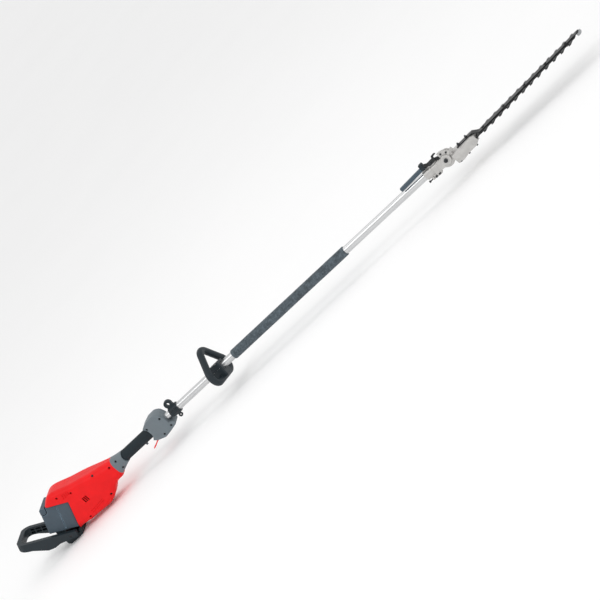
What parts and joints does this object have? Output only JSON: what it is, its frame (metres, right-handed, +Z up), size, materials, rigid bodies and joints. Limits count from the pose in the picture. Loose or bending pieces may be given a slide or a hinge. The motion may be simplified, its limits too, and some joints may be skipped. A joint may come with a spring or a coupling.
{
  "type": "long-reach hedge trimmer",
  "caption": "Battery long-reach hedge trimmer: rear motor unit, straight pole with loop handle and foam grip, and a tilting head with twin reciprocating blades.",
  "frame": {"origin": "on the pole's axis, midway along the free tube between the harness ring and the loop handle", "axes": "+X along the pole to the blades, +Z up, +Y to the tool's left"},
  "size_m": [2.5673, 0.1653, 0.1725],
  "materials": {
    "red_plastic": "fine satin moulding",
    "slate_plastic": "fine matt moulding",
    "grey_plastic": "fine matt moulding",
    "black_plastic": "matt moulding",
    "red_trigger": "satin moulding",
    "black_rubber": "fine grain",
    "foam": "closed-cell foam skin",
    "tube_aluminium": "bright anodised",
    "cast_aluminium": "die cast, matt",
    "blade_steel": "black coated, ground edges",
    "dark_steel": "blackened",
    "bright_steel": "machined",
    "brass_contact": "plain",
    "tip_grey": "satin moulding",
    "circuit_board": "solder mask",
    "cell_wrap": "shrink wrap",
    "copper_winding": "enamelled wire"
  },
  "bodies": {
    "pole_unit": {"battery_tray": "black_plastic", "controller_board": "circuit_board", "foam_grip": "foam", "guard_hoop": "black_plastic", "guard_screws": "dark_steel", "handle_shell_left": "grey_plastic", "handle_shell_right": "grey_plastic", "housing_left": "red_plastic", "housing_right": "red_plastic", "shell_screws": "dark_steel", "knuckle_casting": "cast_aluminium", "knuckle_screws": "dark_steel", "lock_spring": "bright_steel", "motor_can": "dark_steel", "motor_plate": "bright_steel", "motor_stator": "copper_winding", "pivot_bolt": "dark_steel", "pole_tube": "tube_aluminium", "position_sector": "cast_aluminium", "rubber_grip": "black_rubber", "shaft_bearings": "bright_steel", "shaft_bushes": "black_plastic", "switch": "black_plastic", "terminal_blades": "brass_contact", "terminal_block": "black_plastic", "trigger_pin": "bright_steel", "trigger_spring": "bright_steel"},
    "harness_ring": {"harness_ring_upper": "black_plastic", "harness_ring_lower": "black_plastic", "harness_screws": "dark_steel"},
    "loop_handle": {"loop_handle": "black_plastic", "loop_clamp_cap": "black_plastic", "loop_clamp_screws": "bright_steel"},
    "battery": {"battery_case": "slate_plastic", "battery_cells": "cell_wrap"},
    "battery_latch": {"battery_latch": "slate_plastic"},
    "trigger": {"trigger": "red_trigger"},
    "lock_button": {"lock_button": "grey_plastic"},
    "drive_line": {"drive_shaft": "bright_steel", "input_pinion": "bright_steel", "shaft_coupling": "bright_steel", "motor_rotor": "dark_steel"},
    "idler_gear": {"idler_gear": "bright_steel"},
    "head": {"gear_case": "cast_aluminium", "gear_case_cover": "cast_aluminium", "case_screws": "dark_steel", "guide_bar": "blade_steel", "guide_bar_screws": "dark_steel", "blade_nuts": "dark_steel", "tip_guard": "tip_grey", "tilt_arm": "blade_steel", "tilt_bar": "slate_plastic", "tilt_knob": "black_plastic", "latch_pin": "dark_steel"},
    "latch_lever": {"latch_lever": "blade_steel"},
    "output_shaft": {"output_shaft": "bright_steel"},
    "crank_gear": {"crank_gear": "bright_steel"},
    "blade_upper": {"blade_upper": "blade_steel"},
    "blade_lower": {"blade_lower": "blade_steel"}
  },
  "joints": [
    {"name": "harness_slide", "type": "slide", "parent": "pole_unit", "child": "harness_ring", "axis": [1, 0, 0], "range_m": [0, 0.07]},
    {"name": "loop_slide", "type": "slide", "parent": "pole_unit", "child": "loop_handle", "axis": [1, 0, 0], "range_m": [-0.09, 0.045]},
    {"name": "battery_slide", "type": "slide", "parent": "pole_unit", "child": "battery", "axis": [-0.891, 0, 0.454], "range_m": [0, 0.115]},
    {"name": "battery_latch_press", "type": "slide", "parent": "battery", "child": "battery_latch", "axis": [0.891, 0, -0.454], "range_m": [0, 0.003], "stiffness_N_per_m": 900, "springref_m": -0.004},
    {"name": "trigger_squeeze", "type": "hinge", "parent": "pole_unit", "child": "trigger", "pos_m": [-0.188, 0, -0.029], "axis": [0, 1, 0], "range_deg": [0, 15], "stiffness_Nm_per_rad": 0.6, "springref_deg": -12.03, "deforming": ["trigger_spring"]},
    {"name": "lock_press", "type": "slide", "parent": "pole_unit", "child": "lock_button", "axis": [0, 0, 1], "range_m": [0, 0.0025], "stiffness_N_per_m": 200, "springref_m": -0.003, "deforming": ["lock_spring"]},
    {"name": "drive_spin", "type": "hinge", "parent": "pole_unit", "child": "drive_line", "pos_m": [0, 0, 0], "axis": [1, 0, 0], "continuous": true},
    {"name": "idler_spin", "type": "hinge", "parent": "pole_unit", "child": "idler_gear", "pos_m": [1.161, 0, -0.001], "axis": [0, 1, 0], "continuous": true},
    {"name": "head_tilt", "type": "hinge", "parent": "pole_unit", "child": "head", "pos_m": [1.161, 0, -0.001], "axis": [0, 1, 0], "range_deg": [0, 78]},
    {"name": "output_spin", "type": "hinge", "parent": "head", "child": "output_shaft", "pos_m": [1.161, 0, -0.001], "axis": [0.9956, 0, -0.0941], "continuous": true},
    {"name": "crank_spin", "type": "hinge", "parent": "head", "child": "crank_gear", "pos_m": [1.24488, 0, 0.00352], "axis": [-0.0419, 0, 0.9991], "continuous": true},
    {"name": "blade_slide", "type": "slide", "parent": "head", "child": "blade_upper", "axis": [0.9991, 0, 0.0419], "range_m": [-0.00675, 0.00225]},
    {"name": "blade_lower_slide", "type": "slide", "parent": "head", "child": "blade_lower", "axis": [0.9991, 0, 0.0419], "range_m": [-0.00225, 0.00675]},
    {"name": "latch_lift", "type": "hinge", "parent": "head", "child": "latch_lever", "pos_m": [1.11786, -0.024, 0.02522], "axis": [0, -1, 0], "range_deg": [0, 10], "stiffness_Nm_per_rad": 0.5, "springref_deg": -14.9}
  ],
  "couplings": [
    {"joint": "idler_spin", "follows": "drive_spin", "ratio": 0.5},
    {"joint": "output_spin", "follows": "drive_spin", "ratio": -1},
    {"joint": "crank_spin", "follows": "drive_spin", "ratio": 0.25},
    {"joint": "blade_lower_slide", "follows": "blade_slide", "ratio": -1}
  ]
}
